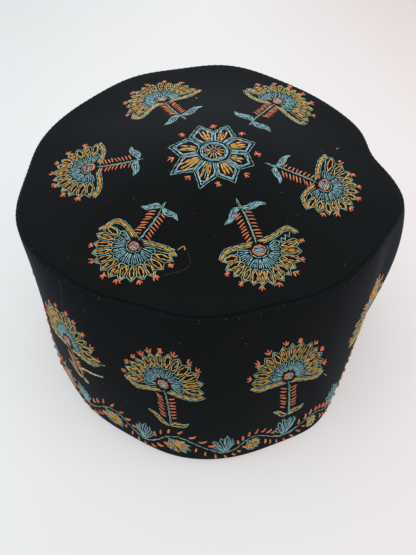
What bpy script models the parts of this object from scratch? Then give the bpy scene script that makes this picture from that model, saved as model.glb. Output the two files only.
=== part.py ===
"""Embroidered cap of black cotton twill: a softly domed crown disc on an upright side band.

Metres, +Z up. The cap rests on its rim at z = 0, and the origin is the bottom centre of its box.
Bearings are degrees from +X, anticlockwise from above, so 270 is the front and 90 the back.
"""
import math
from collections import namedtuple

import bmesh
import bpy

MM = 0.001

# Outer cloth surface. The seam ring is where crown and band are sewn together.
SEAM_HALF_WIDTH = 87.1 * MM
SEAM_HALF_DEPTH = 83.7 * MM
SEAM_HEIGHT = 83.0 * MM
RIM_HALF_WIDTH = 80.0 * MM
RIM_HALF_DEPTH = 99.0 * MM
RIM_SHIFT_X = -1.0 * MM
RIM_SHIFT_Y = -2.6 * MM
WALL_BULGE = 3.1 * MM
DOME_RISE = 14.5 * MM

# The cloth swells by this much on both sides of the seam, within a few millimetres of it.
SEAM_SWELL = 1.1 * MM
SEAM_SWELL_LENGTH = 2.0 * MM

# Cloth thickness, the hem turned up inside the rim, and the gap between the two pieces.
CLOTH = 2.2 * MM
HEM_THICKNESS = 0.8 * MM
HEM_HEIGHT = 14.0 * MM
HEM_STEP = 1.0 * MM
RIM_ROUND = 0.6 * MM
SEAM_GAP = 0.3 * MM

# Facets: steps round the cap, rings down the band, and rings from the crown's centre to its edge.
BEARING_STEPS = 72
BAND_RINGS = 12
CROWN_RINGS = 12

# Puffs and dents of the soft cloth. level says where it is strongest: at the seam, halfway down
# the wall or at the rim. spread is in degrees of bearing, and out is in millimetres, minus inward.
Dent = namedtuple("Dent", "name level bearing spread out")
DENTS = (
    Dent("right notch", "seam", 13, 10, -4.6),
    Dent("back right pinch", "seam", 33, 26, -2.3),
    Dent("right shoulder puff", "seam", 349, 10, 4.0),
    Dent("back crest", "seam", 84, 16, 6.3),
    Dent("back left rise", "seam", 114, 14, 3.9),
    Dent("left flat", "seam", 177, 14, -2.3),
    Dent("left shoulder puff", "seam", 202, 18, 3.4),
    Dent("front left flat", "seam", 251, 12, -2.5),
    Dent("front right flat", "seam", 287, 13, -2.9),
    Dent("right wall puff", "wall", 352, 16, 5.2),
    Dent("right wall hollow", "wall", 338, 10, -3.2),
    Dent("left wall hollow", "wall", 201, 15, -3.4),
    Dent("front right hollow", "wall", 301, 14, -1.0),
    Dent("right rim tuck", "rim", 343, 16, -3.3),
    Dent("front right rim spread", "rim", 309, 11, 3.9),
    Dent("left rim spread", "rim", 192, 14, 2.3),
    Dent("front left rim tuck", "rim", 244, 13, -2.1),
)

BLACK_TWILL = {"colour": (0.013, 0.014, 0.017, 1.0), "roughness": 0.88, "metallic": 0.0}


def dent_share(level, drop):
    """How much of a dent is felt at this drop, from 0 at the seam to 1 at the rim."""
    if level == "seam":
        return (1 - drop) ** 2
    if level == "wall":
        return 4 * drop * (1 - drop)
    return drop ** 2


def soft_offset(bearing, drop):
    """Sum of the dents as bell curves of the bearing, each scaled by its share at this drop."""
    total = 0.0
    for dent in DENTS:
        turn = (bearing - dent.bearing + 180) % 360 - 180
        bell = math.exp(-(turn / dent.spread) ** 2)
        total += dent.out * MM * bell * dent_share(dent.level, drop)
    return total


def seam_swell(distance):
    """Swelling of the cloth at this distance from the seam: none at it, full a few mm away."""
    return SEAM_SWELL * (1 - math.exp(-distance / SEAM_SWELL_LENGTH))


def band_point(bearing, drop, depth):
    """Point of the band: drop runs from the seam (0) to the rim (1), depth into the cap."""
    angle = math.radians(bearing)
    half_width = SEAM_HALF_WIDTH * (1 - drop) + RIM_HALF_WIDTH * drop
    half_depth = SEAM_HALF_DEPTH * (1 - drop) + RIM_HALF_DEPTH * drop
    out = soft_offset(bearing, drop) + WALL_BULGE * 4 * drop * (1 - drop)
    out += seam_swell(drop * SEAM_HEIGHT) - depth
    x = (half_width + out) * math.cos(angle) + RIM_SHIFT_X * drop
    y = (half_depth + out) * math.sin(angle) + RIM_SHIFT_Y * drop
    return x, y, SEAM_HEIGHT * (1 - drop)


def crown_point(bearing, reach, depth):
    """Point of the crown: reach runs from the centre (0) to the seam (1), depth downward."""
    angle = math.radians(bearing)
    out = soft_offset(bearing, 0) * reach ** 3 - depth * reach ** 2
    x = (SEAM_HALF_WIDTH * reach + out) * math.cos(angle)
    y = (SEAM_HALF_DEPTH * reach + out) * math.sin(angle)
    dome = DOME_RISE * 0.5 * (1 + math.cos(math.pi * reach))
    return x, y, SEAM_HEIGHT + dome + seam_swell((1 - reach) * SEAM_HALF_WIDTH) - depth


def bearings():
    return [360 * step / BEARING_STEPS for step in range(BEARING_STEPS)]


def band_drops():
    """Drops from seam to rim, closer together at both edges."""
    return [0.5 - 0.5 * math.cos(math.pi * i / BAND_RINGS) for i in range(BAND_RINGS + 1)]


def crown_reaches():
    """Reaches from the ring next to the centre to the seam, closer together at the seam."""
    return [math.sin(0.5 * math.pi * i / CROWN_RINGS) for i in range(1, CROWN_RINGS + 1)]


def band_sections():
    """Sections of the band as (drop, depth, lowered by): down outside, under, and up inside."""
    hem_depth = CLOTH + HEM_THICKNESS
    hem_top = 1 - HEM_HEIGHT / SEAM_HEIGHT
    hem_start = 1 - (HEM_HEIGHT - HEM_STEP) / SEAM_HEIGHT
    rounding = 1 - RIM_ROUND / SEAM_HEIGHT
    under_mitre = 1.5 * CLOTH / SEAM_HEIGHT
    mitre = SEAM_GAP * math.sqrt(2)
    inner = [drop for drop in band_drops() if under_mitre < drop < hem_top - HEM_STEP / SEAM_HEIGHT]
    sections = [(0, 0, mitre)]
    sections += [(drop, 0, 0) for drop in band_drops()[1:-1] + [rounding]]
    sections += [(1, RIM_ROUND, 0), (1, hem_depth - RIM_ROUND, 0), (rounding, hem_depth, 0)]
    sections += [(hem_start, hem_depth, 0), (hem_top, CLOTH, 0)]
    sections += [(drop, CLOTH, 0) for drop in reversed(inner)]
    sections += [(0, CLOTH, CLOTH + mitre)]
    return sections


def plan_centre():
    """Middle of the outer surface's box, seen from above."""
    points = [band_point(b, drop, 0) for b in bearings() for drop in band_drops()]
    xs = [point[0] for point in points]
    ys = [point[1] for point in points]
    return (min(xs) + max(xs)) / 2, (min(ys) + max(ys)) / 2


def bridge(mesh, ring, other):
    """Quads between two rings of vertices with the same count."""
    for i, vertex in enumerate(ring):
        following = (i + 1) % len(ring)
        mesh.faces.new((vertex, ring[following], other[following], other[i]))


def new_ring(mesh, points, centre):
    return [mesh.verts.new((x - centre[0], y - centre[1], z)) for x, y, z in points]


def band_mesh(centre):
    """Closed sleeve: every section is joined to the next, and the last to the first."""
    mesh = bmesh.new()
    rings = []
    for drop, depth, lowered in band_sections():
        points = [band_point(b, drop, depth) for b in bearings()]
        rings.append(new_ring(mesh, [(x, y, z - lowered) for x, y, z in points], centre))
    for ring, following in zip(rings, rings[1:] + rings[:1]):
        bridge(mesh, ring, following)
    return mesh


def crown_mesh(centre):
    """Closed dish: the outer surface from its centre to the seam, and back under the cloth."""
    mesh = bmesh.new()
    rings = []
    poles = []
    for depth in (0, CLOTH):
        poles.append(new_ring(mesh, [crown_point(0, 0, depth)], centre)[0])
        side = [
            new_ring(mesh, [crown_point(b, reach, depth) for b in bearings()], centre)
            for reach in crown_reaches()
        ]
        rings += side if depth == 0 else side[::-1]
    for ring, following in zip(rings, rings[1:]):
        bridge(mesh, ring, following)
    for pole, ring in zip(poles, (rings[0], rings[-1])):
        for i, vertex in enumerate(ring):
            mesh.faces.new((pole, vertex, ring[(i + 1) % len(ring)]))
    return mesh


def cloth_material(name, look):
    material = bpy.data.materials.new(name)
    material.use_nodes = True
    shader = material.node_tree.nodes["Principled BSDF"]
    shader.inputs["Base Color"].default_value = look["colour"]
    shader.inputs["Roughness"].default_value = look["roughness"]
    shader.inputs["Metallic"].default_value = look["metallic"]
    return material


def add_piece(name, mesh, collection, look):
    """Put a finished bmesh into the scene as one object with its own material."""
    bmesh.ops.recalc_face_normals(mesh, faces=mesh.faces[:])
    data = bpy.data.meshes.new(name)
    mesh.to_mesh(data)
    mesh.free()
    data.shade_smooth()
    data.set_sharp_from_angle(angle=math.radians(50))
    data.materials.append(cloth_material(name + "_twill", look))
    piece = bpy.data.objects.new(name, data)
    collection.objects.link(piece)
    return piece


def main():
    for old in list(bpy.data.objects):
        bpy.data.objects.remove(old, do_unlink=True)
    collection = bpy.data.collections.new("embroidered_cap")
    bpy.context.scene.collection.children.link(collection)
    centre = plan_centre()
    add_piece("crown_top", crown_mesh(centre), collection, BLACK_TWILL)
    add_piece("side_band", band_mesh(centre), collection, BLACK_TWILL)


if __name__ == "__main__":
    main()
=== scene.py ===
"""Looks of an embroidered cap: black cotton twill, plain seam, and hand embroidery in four flosses.

Run as a script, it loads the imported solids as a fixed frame, lays the cloth and every stitch over
them, and sets a pale floor, soft light and a camera. Bearings are degrees from +X, anticlockwise
from above, so 270 is the front. Motifs are drawn in millimetres and scaled when they are laid.
"""
import math
from collections import namedtuple

import bmesh
import bpy
import numpy as np
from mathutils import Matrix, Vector


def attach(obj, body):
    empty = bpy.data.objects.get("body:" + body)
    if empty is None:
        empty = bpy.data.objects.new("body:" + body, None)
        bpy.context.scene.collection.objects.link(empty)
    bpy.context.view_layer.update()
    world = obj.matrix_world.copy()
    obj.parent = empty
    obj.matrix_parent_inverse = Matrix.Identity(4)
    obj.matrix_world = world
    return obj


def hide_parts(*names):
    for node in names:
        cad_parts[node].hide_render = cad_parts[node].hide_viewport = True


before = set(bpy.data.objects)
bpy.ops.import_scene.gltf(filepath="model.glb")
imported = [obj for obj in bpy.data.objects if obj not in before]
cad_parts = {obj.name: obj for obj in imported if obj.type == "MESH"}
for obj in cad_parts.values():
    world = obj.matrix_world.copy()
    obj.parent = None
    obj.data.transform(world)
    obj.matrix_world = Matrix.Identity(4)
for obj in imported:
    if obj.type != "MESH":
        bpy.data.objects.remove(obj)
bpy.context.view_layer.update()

bl_info = {
    "name": "Embroidered cap",
    "version": (1, 0, 0),
    "blender": (4, 5, 0),
    "location": "3D View > Sidebar > Cap",
    "description": "Cloth, seam and hand stitches of a round embroidered cap",
    "category": "Add Mesh",
}

MM = 0.001

# Puffs and dents of the soft cloth, the same as the solids have. out is in mm, spread in degrees.
Dent = namedtuple("Dent", "name level bearing spread out")
DENTS = (
    Dent("right notch", "seam", 13, 10, -4.6),
    Dent("back right pinch", "seam", 33, 26, -2.3),
    Dent("right shoulder puff", "seam", 349, 10, 4.0),
    Dent("back crest", "seam", 84, 16, 6.3),
    Dent("back left rise", "seam", 114, 14, 3.9),
    Dent("left flat", "seam", 177, 14, -2.3),
    Dent("left shoulder puff", "seam", 202, 18, 3.4),
    Dent("front left flat", "seam", 251, 12, -2.5),
    Dent("front right flat", "seam", 287, 13, -2.9),
    Dent("right wall puff", "wall", 352, 16, 5.2),
    Dent("right wall hollow", "wall", 338, 10, -3.2),
    Dent("left wall hollow", "wall", 201, 15, -3.4),
    Dent("front right hollow", "wall", 301, 14, -1.0),
    Dent("right rim tuck", "rim", 343, 16, -3.3),
    Dent("front right rim spread", "rim", 309, 11, 3.9),
    Dent("left rim spread", "rim", 192, 14, 2.3),
    Dent("front left rim tuck", "rim", 244, 13, -2.1),
)

# Faint waves of the cloth: size in mm, waves round the cap, and how far each leans and starts, in
# radians. The band's leans grow with the drop, the crown's with the reach.
Ripple = namedtuple("Ripple", "size waves lean start")
BAND_RIPPLES = (Ripple(0.45, 5, 2.2, 0.7), Ripple(0.30, 11, -3.1, 2.0), Ripple(0.16, 19, 5.0, 4.1))
CROWN_RIPPLES = (Ripple(0.40, 6, 2.5, 0.0), Ripple(0.25, 13, -4.0, 1.3))

# Relief of the seam: the cloth swells beside it over a length, a notch is pressed in at it with a
# low ridge next to it, and each of its stitches puckers the edge.
SEAM_SWELL_LENGTH = 2.0 * MM
SEAM_NOTCH = 1.9 * MM
SEAM_NOTCH_LENGTH = 0.4 * MM
SEAM_RIDGE = 0.2 * MM
SEAM_RIDGE_AT = 1.4 * MM
SEAM_STITCH = 3.1 * MM
SEAM_PUCKER = 0.16 * MM
SEAM_PUCKER_LENGTH = 1.6 * MM

# Grid of the cloth: its points round the cap, and the distance between its rings, which lie closer
# together within EDGE_BAND of the seam. The under side needs fewer rings.
BEARING_STEPS = 720
RING_STEP = 1.2 * MM
EDGE_BAND = 6.0 * MM
EDGE_RING_STEP = 0.25 * MM
UNDER_STEP = 0.09
INSIDE_STEP = 0.05
HEM_RING_STEP = 2.0 * MM
# The middle of the crown's under side, as a reach, is closed by a fan of triangles.
UNDER_MIDDLE = 0.05

# Making of the band: gap to the crown at the seam, how much lower the inner face starts there as a
# share of the cloth, the hem's extra thickness, the step at its top edge, the height at which the
# rim's fold starts, and the flat length of its twill.
SEAM_GAP = 0.42 * MM
SEAM_MITRE = 0.9
HEM_THICKNESS = 0.8 * MM
HEM_STEP = 1.0 * MM
RIM_FOLD = 1.6 * MM
RIM_FOLD_ANGLES = range(15, 180, 15)
BAND_FLAT_LENGTH = 0.56

# Every flower is drawn round its orange ring, u across and v towards the top of its fan, in mm.
# ring is its half width and half height. reach is the fan's height over the ring's middle, halfway to
# its minus side and halfway to its plus side. A wing is the fan's lower edge on one side: its middle,
# its shoulder and its end. ticks are the first and last bearing of the marks round it, and how many.
# wheel is how far the blue rays reach. clear is the gap between each wing and its nearest petal.
# filled is the share of petals with a gold stroke in their slit.
Fan = namedtuple(
    "Fan", "ring reach plus_wing minus_wing ticks wheel plus_clear minus_clear filled",
    defaults=(2.4, 2.4, 0.25),
)

# Crown flowers: x, y of the ring from the crown's middle, and the bearing that the fan opens to.
# joint is how far down the stem the leaves sit, stem its full length, belly how far a leaf swells.
# A flower whose wing stands far off its first petal has a sage zigzag between them.
CrownFlower = namedtuple(
    "CrownFlower", "name x y turn fan joint stem plus_leaf minus_leaf belly zigzag", defaults=((),)
)
CROWN_FLOWERS = (
    CrownFlower(
        "back_left", -23.0, 53.4, 118,
        Fan(
            (2.1, 2.0), (17.8, 16.8), ((8, -6), (16.5, -11), (20, -7.5)),
            ((-9, -4.5), (-15, -4), (-20.5, -1.5)), (-92, 98, 7), 9.1, filled=0.9,
        ),
        21.0, 27.0, (11.0, -25.5), (-13.5, -18.5), 2.0,
    ),
    CrownFlower(
        "back_right", 35.7, 53.8, 61,
        Fan(
            (2.3, 2.3), (15.4, 16.4), ((8.5, -6), (16, -3), (19, 0.5)),
            ((-10, -9.5), (-18, -12), (-20.5, -9)), (-92, 62, 6), 9.1, filled=0.9,
        ),
        26.8, 32.5, (12.0, -24.5), (-10.5, -30.5), 2.3,
    ),
    CrownFlower(
        "right", 53.3, -10.9, -16,
        Fan(
            (3.0, 2.3), (15.8, 16.3), ((9, -5), (16.5, -5), (22.5, -3)),
            ((-8, -7), (-13, -7.5), (-17, -4)), (-82, 78, 7), 9.1,
        ),
        22.5, 28.0, (11.4, -18.5), (-9.0, -19.0), 1.5,
    ),
    CrownFlower(
        "front_right", 22.2, -50.2, -69,
        Fan(
            (3.0, 2.3), (17.3, 17.7), ((8.5, -5), (16, -7.5), (19.8, -3.5)),
            ((-7, -4.5), (-14, -4.5), (-17.5, -1)), (-71, 86, 7), 9.1, 6.2,
        ),
        21.0, 26.5, (11.8, -20.5), (-9.6, -16.0), 1.5,
        ((9.5, -2.2), (11, -0.9), (11.6, -3.2), (13, -1.6), (13.8, -4.2), (15.2, -2.4), (16.2, -5)),
    ),
    CrownFlower(
        "front_left", -31.5, -47.5, -123,
        Fan(
            (2.3, 1.9), (18.5, 17.3), ((8, -5.5), (14, -6.5), (18.5, -4.8)),
            ((-8, -7), (-15, -7.5), (-18.8, 0)), (-63, 94, 7), 9.1,
        ),
        20.6, 24.6, (9.7, -19.5), (-8.8, -18.0), 1.5,
    ),
    CrownFlower(
        "left", -54.9, 0.9, 179,
        Fan(
            (2.5, 2.7), (17.3, 17.5), ((9.5, -6.2), (15.5, -6.4), (19.5, -4.0)),
            ((-7.5, -6), (-13, -5.5), (-18.5, -2.5)), (-74, 80, 7), 9.1,
        ),
        22.2, 25.6, (10.2, -21.5), (-10.5, -19.0), 1.8,
    ),
)

# Fans of the band's flowers: two that show their own hand, and two that the others repeat.
LEVEL_FAN = Fan(
    (2.4, 2.1), (14.8, 19.0), ((8, -4.4), (14, -4.0), (18, -1.6)),
    ((-8, -6.0), (-14, -7.2), (-18.6, -3.6)), (-93, 54, 9), 8.4,
)
TURNED_FAN = Fan(
    (2.4, 2.1), (18.2, 15.8), ((8, -4), (14, -5), (18.5, -3.2)),
    ((-8, -4.2), (-14, -5), (-18.4, -3.4)), (-78, 92, 9), 8.4,
)
EVEN_FAN = Fan(
    (2.4, 2.1), (17.2, 17.2), ((8, -4), (14, -5), (18.5, -3.2)),
    ((-8, -4.2), (-14, -5), (-18.4, -3.4)), (-84, 84, 8), 8.4,
)
BOWED_FAN = Fan(
    (2.3, 1.9), (16.9, 18.6), ((8, -5), (15, -6.8), (19, -4)),
    ((-8, -4), (-14, -5.5), (-18, -4)), (-83, 88, 8), 8.4,
)

# Band flowers stand about every 36 degrees: bearing and height of the ring, in degrees and mm.
# lean carries the stem sideways as it goes down, and lift raises the fan's plus end, as fractions.
BandFlower = namedtuple("BandFlower", "name bearing height lean lift joint plus_leaf minus_leaf fan")
BAND_FLOWERS = (
    BandFlower("front_left", 257.7, 48.6, -0.09, -0.10, 25.0, (9.4, -20.2), (-9.8, -18.8), LEVEL_FAN),
    BandFlower("front_right", 294.2, 46.9, -0.11, -0.16, 26.0, (8.4, -21.5), (-7.8, -21.6), BOWED_FAN),
    BandFlower("right_front", 331.0, 40.0, 0.00, 0.00, 25.0, (9.6, -20.8), (-9.4, -18.8), EVEN_FAN),
    BandFlower("right", 5.5, 47.0, 0.04, 0.05, 25.6, (9.2, -20.2), (-9.6, -19.4), BOWED_FAN),
    BandFlower("right_back", 41.5, 48.4, -0.06, -0.03, 26.0, (10.0, -21.0), (-9.0, -18.0), EVEN_FAN),
    BandFlower("back_right", 77.5, 47.6, 0.05, 0.06, 25.2, (9.4, -20.6), (-10.0, -19.0), EVEN_FAN),
    BandFlower("back_left", 113.5, 48.2, -0.04, -0.07, 25.8, (9.8, -19.4), (-9.2, -20.4), BOWED_FAN),
    BandFlower("left_back", 149.5, 47.8, 0.06, 0.03, 25.4, (9.0, -21.2), (-9.8, -18.6), EVEN_FAN),
    BandFlower("left", 187.0, 48.0, -0.05, 0.03, 25.0, (9.4, -20.4), (-9.6, -19.8), EVEN_FAN),
    BandFlower("left_front", 225.0, 47.7, -0.33, 0.10, 19.6, (3.2, -20.4), (-9.0, -15.0), TURNED_FAN),
)

FAN_PETALS = 13
FAN_RAYS = 11
# Sizes of a fan, in mm: how deep its scallops are, the gaps from the wheel to the petals and to the
# lines between them, the gap from a petal's tip to its scallop, and the ticks' gap and size.
SCALLOP_DEPTH = 2.6
PETAL_GAP = 0.8
BORDER_GAP = 0.9
PETAL_TIP_GAP = 0.9
TICK_GAP = 0.6
TICK_SIZE = 1.2
# Only the crown's wider wheels have a sage line round their ring, this far off it.
HUB_LINE_FROM = 9.0
HUB_LINE_GAP = 1.15
# Gap between the ring and the blue rays, and between the ring and every other sage spoke. Both are
# less by NO_HUB_LINE where the wheel has no line round its ring.
RAY_GAP = 1.9
SPOKE_GAPS = (1.4, 2.6)
NO_HUB_LINE = 0.6
# Gap between a wing's middle and its nearest ray, and how far under the ring the wings start.
RAY_CLEAR = 2.2
WING_DROP = 1.5

# Heights over the rim at which arc lengths are measured, for the band's flowers and for the vine.
FLOWER_ARC_HEIGHT = 40 * MM
VINE_ARC_HEIGHT = 11 * MM

# Petals of the crown's rosette: bearing and reach of each tip, in degrees and mm.
Petal = namedtuple("Petal", "bearing reach")
ROSETTE_PETALS = (
    Petal(25, 21.1),
    Petal(73, 22.5),
    Petal(109, 22.1),
    Petal(168, 21.6),
    Petal(215, 24.0),
    Petal(254, 23.4),
    Petal(296, 21.0),
    Petal(338, 19.6),
)
ROSETTE_CENTRE = (3.1, 1.4)
ROSETTE_NOTCH = 15.8
ROSETTE_TICK_REACH = 20.0
# Bearings of the strokes in the rosette's wheel: sage spokes, and the orange and gold beside them.
HEART_SPOKES = (45, 118, 182, 247, 320)
HEART_STROKES = (0, 88, 148, 215, 278)

VINE_REPEATS = 17
VINE_CREST_BEARING = 262.5
VINE_LOW = 6.0
VINE_POINTS = 16
# Half the vine's rise at each crest, in mm, from the crest left of the front middle onwards.
VINE_SWINGS = (5.5, 4.1, 2.9, 3.6, 5.0, 5.4, 5.0, 5.6, 5.2, 4.8, 5.5, 5.1, 4.9, 5.4, 5.2, 5.8, 6.0)
# Where the vine was drawn ahead of or behind its even spacing: bearing, spread and shift in degrees.
Drift = namedtuple("Drift", "bearing spread shift")
VINE_DRIFTS = (
    Drift(229, 9, -1.6),
    Drift(256, 10, -1.4),
    Drift(274, 7, 2.4),
    Drift(295, 9, -0.8),
    Drift(314, 8, -3.0),
)
# Orange stitches beside the vine: where they stand, as shares of a repeat about each crest and
# trough, their gap to the vine and length in mm, their slant, and the lowest height they reach to.
BORDER_STITCHES = np.linspace(-0.27, 0.25, 7)
BORDER_STITCH_GAP = 2.0
BORDER_STITCH_LENGTH = 2.5
BORDER_STITCH_SLANT = 0.75
BORDER_STITCH_LOWEST = 0.9

# Loose ends on the crown, as points in mm from its middle: thread left from sewing, and a hair.
CROWN_LOOSE = (
    ("gold", ((-15.6, -49.5), (-13.6, -50.3))),
    ("gold", ((-12.5, -50.4), (-11.2, -49.4), (-10.2, -48.9), (-9.4, -49.8), (-9.9, -50.8))),
    ("lint", ((-8.5, -51.4), (-7.4, -54.5), (-7.4, -57.8), (-10.5, -60.1), (-14.7, -61.1), (-19.8, -62.1))),
    ("sage", ((62.0, 17.5), (63.2, 18.4))),
    ("orange_fine", ((-5.2, 52.6), (-5.8, 53.6))),
)
# Loose ends on the band, as bearing in degrees and height over the rim in mm.
BAND_LOOSE = (
    ("cream", ((228.4, 34.6), (231.0, 36.9), (234.6, 38.0), (238.6, 39.4))),
    ("sage", ((236.4, 46.6), (238.0, 46.8), (239.6, 47.4))),
    ("sage", ((307.5, 36.1), (309.0, 33.2))),
    ("lint", ((224.6, 81.0), (225.6, 77.5), (225.4, 72.0), (225.6, 68.0))),
    ("lint", ((206.0, 60.0), (204.6, 53.0), (205.6, 47.5), (203.0, 43.0))),
    ("lint", ((209.0, 79.0), (211.0, 73.0), (210.0, 66.0))),
)
LINT_COUNT = 64
LINT_LENGTH = 2.2 * MM
LINT_HALF_SPAN = 62 * MM
# Lint on the band, and light specks just under its seam that are painted highlights of its puckered lip:
# lowest and highest bearing and height, and the fibres' length.
BAND_LINT = ((0, 20 * MM), (360, 80 * MM), (1.4, LINT_LENGTH))
SEAM_HIGHLIGHT_SPECKS = ((0, 81.2 * MM), (360, 82.6 * MM), (0.5, 0.6 * MM))

# Threads of the needlework: the dye and the width in mm, by how many strands are taken.
Floss = namedtuple("Floss", "dye width")
FLOSSES = {
    "sage": Floss("sage", 0.36),
    "blue": Floss("blue", 0.41),
    "blue_fine": Floss("blue", 0.3),
    "gold": Floss("gold", 0.5),
    "orange": Floss("orange", 0.62),
    "orange_ring": Floss("orange", 0.78),
    "orange_fine": Floss("orange", 0.66),
    "orange_double": Floss("orange", 1.08),
    "cream": Floss("cream", 0.78),
    "lint": Floss("lint", 0.12),
    "speck": Floss("lint", 0.2),
}
STITCH_STATIONS = 6
STITCH_SIDES = 6

# Twill ribs are about 0.5 mm apart. They are drawn coarser, so that they show in the render.
RIB_PITCH = 1.8 * MM
# A wave texture of scale 1 turns by this many radians in a metre.
WAVE_TURN = 20

# Glow of the floor, painted light that fills the cap's shadow on it: beside the cap from left to right, and
# far behind it by position and colour.
FLOOR_REACH = 8.0
# Painted light: the glow is cool at the left and warm at the right.
FLOOR_LEFT = (0.93, 0.99, 1.01, 1.0)
FLOOR_RIGHT = (1.13, 0.93, 0.91, 1.0)
FLOOR_FAR = (
    (0.13, (0.42, 0.43, 0.43, 1.0)),
    (0.44, (0.68, 0.63, 0.61, 1.0)),
    (0.75, (0.40, 0.12, 0.10, 1.0)),
)
ROOM_COLOUR = (0.96, 0.98, 1.0, 1.0)
# Square soft boxes, turned to the cap: place and size in metres, power in watts.
Lamp = namedtuple("Lamp", "name place size power tint")
LAMPS = (
    Lamp("softbox_over", (-0.5, 1.1, 2.3), 2.4, 28.0, (1.0, 1.0, 1.0)),
    Lamp("softbox_back", (0.2, 2.1, 0.6), 1.6, 14.0, (0.97, 0.99, 1.0)),
    Lamp("softbox_left", (-1.8, 0.1, 1.7), 1.6, 8.0, (0.90, 0.97, 1.0)),
    Lamp("softbox_right", (1.9, -0.3, 1.7), 1.6, 11.0, (1.0, 0.90, 0.86)),
)
LAMP_AIM = (0, 0, 0.05)


def length_property(name, description, default):
    """A length in metres for the panel."""
    return bpy.props.FloatProperty(name=name, description=description, default=default, unit="LENGTH")


class CapShape(bpy.types.PropertyGroup):
    """Sizes of the cloth, the same as the solids have."""

    seam_half_width: length_property("Seam half width", "Half width of the seam ring", 0.0871)
    seam_half_depth: length_property("Seam half depth", "Half depth of the seam ring", 0.0837)
    seam_height: length_property("Seam height", "Height of the seam over the rim", 0.083)
    rim_half_width: length_property("Rim half width", "Half width of the rim", 0.08)
    rim_half_depth: length_property("Rim half depth", "Half depth of the rim", 0.099)
    rim_shift: bpy.props.FloatVectorProperty(
        name="Rim shift", description="The rim's middle from the seam's", size=2, default=(-0.001, -0.0026)
    )
    wall_bulge: length_property("Wall bulge", "Outward bow of the side band", 0.0031)
    dome_rise: length_property("Dome rise", "Rise of the crown's middle", 0.0145)
    seam_swell: length_property("Seam swell", "Swelling of the cloth beside the seam", 0.0011)
    cloth: length_property("Cloth", "Thickness of the cloth with its turnings", 0.0022)
    hem_height: length_property("Hem height", "Height of the hem turned up inside", 0.014)


def hex_colour(code):
    """sRGB hex such as 1b1c1f to linear red, green, blue and alpha."""
    srgb = np.array([int(code[i : i + 2], 16) for i in (0, 2, 4)]) / 255
    linear = np.where(srgb <= 0.04045, srgb / 12.92, ((srgb + 0.055) / 1.055) ** 2.4)
    return (*linear.tolist(), 1.0)


def colour_property(name, description, code):
    """A colour for the panel, from its sRGB hex."""
    return bpy.props.FloatVectorProperty(
        name=name, description=description, subtype="COLOR", size=4, min=0, max=1, default=hex_colour(code)
    )


class CapColours(bpy.types.PropertyGroup):
    """Colours of the cloth and of the flosses."""

    twill: colour_property("Twill", "Black cotton of crown and band", "090b0c")
    sage: colour_property("Sage", "Grey-green floss of outlines, stems and vine", "84b7a7")
    blue: colour_property("Blue", "Light blue floss of the fans' rays", "95c7e2")
    gold: colour_property("Gold", "Mustard floss of the petals", "f0a42c")
    orange: colour_property("Orange", "Orange floss of rings, ticks and stem stitches", "f2753b")
    cream: colour_property("Cream", "Loose thread left on the band", "e2c79c")
    lint: colour_property("Lint", "Stray fibres on the cloth", "3e4345")
    floor: colour_property("Floor", "Pale floor", "969898")


class CapView(bpy.types.PropertyGroup):
    """Camera and light."""

    focal: bpy.props.FloatProperty(
        name="Focal length", description="For a 36 mm sensor on the long side", default=53.97, unit="CAMERA"
    )
    elevation: bpy.props.FloatProperty(
        name="Elevation", description="Camera's angle over the floor", subtype="ANGLE",
        default=math.radians(49.78),
    )
    distance: length_property("Distance", "Camera to its aim point", 0.4463)
    aim: bpy.props.FloatVectorProperty(
        name="Aim", description="Aim point from the seam ring's middle on the floor", size=3,
        default=(0.0003, 0.0, 0.0109),
    )


def dent_share(level, drop):
    """How much of a dent is felt at this drop, from 0 at the seam to 1 at the rim."""
    if level == "seam":
        return (1 - drop) ** 2
    if level == "wall":
        return 4 * drop * (1 - drop)
    return drop ** 2


def bell(bearing, middle, spread):
    """Bell curve of the shortest turn between a bearing and its middle, 1 at the middle."""
    turn = (bearing - middle + 180) % 360 - 180
    return np.exp(-((turn / spread) ** 2))


def soft_offset(bearing, drop):
    """Sum of the dents: bell curves of the bearing, each scaled by its share at this drop."""
    total = np.zeros(np.broadcast(bearing, drop).shape)
    for dent in DENTS:
        total += dent.out * MM * bell(bearing, dent.bearing, dent.spread) * dent_share(dent.level, drop)
    return total


def seam_swell(distance):
    """Swelling of the cloth at a distance from the seam: none at it, full a few mm away."""
    return bpy.context.scene.cap_shape.seam_swell * (1 - np.exp(-distance / SEAM_SWELL_LENGTH))


def seam_relief(bearing, distance):
    """Swelling beside the seam, a low ridge, the notch at it, and a pucker at each of its stitches."""
    notch = SEAM_NOTCH * np.exp(-((distance / SEAM_NOTCH_LENGTH) ** 2))
    ridge = SEAM_RIDGE * np.exp(-(((distance - SEAM_RIDGE_AT) / SEAM_NOTCH_LENGTH) ** 2))
    stitches = round(2 * math.pi * bpy.context.scene.cap_shape.seam_half_width / SEAM_STITCH)
    wave = np.cos(np.radians(bearing) * stitches)
    pucker = SEAM_PUCKER * wave * np.exp(-distance / SEAM_PUCKER_LENGTH)
    return seam_swell(distance) + ridge - notch + pucker


def ripple(ripples, bearing, share):
    """Sum of sines of the bearing, each shifted by its lean as the share grows, in metres."""
    angle = np.radians(bearing)
    return MM * sum(r.size * np.sin(r.waves * angle + r.lean * share + r.start) for r in ripples)


def band_plan(bearing, drop, relief):
    """x and y of the band: ring and rim ellipses mixed by drop, with the dents, bulge and relief."""
    shape = bpy.context.scene.cap_shape
    angle = np.radians(bearing)
    half_width = shape.seam_half_width * (1 - drop) + shape.rim_half_width * drop
    half_depth = shape.seam_half_depth * (1 - drop) + shape.rim_half_depth * drop
    out = soft_offset(bearing, drop) + shape.wall_bulge * 4 * drop * (1 - drop) + relief
    x = (half_width + out) * np.cos(angle) + shape.rim_shift[0] * drop
    y = (half_depth + out) * np.sin(angle) + shape.rim_shift[1] * drop
    return x, y


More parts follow.
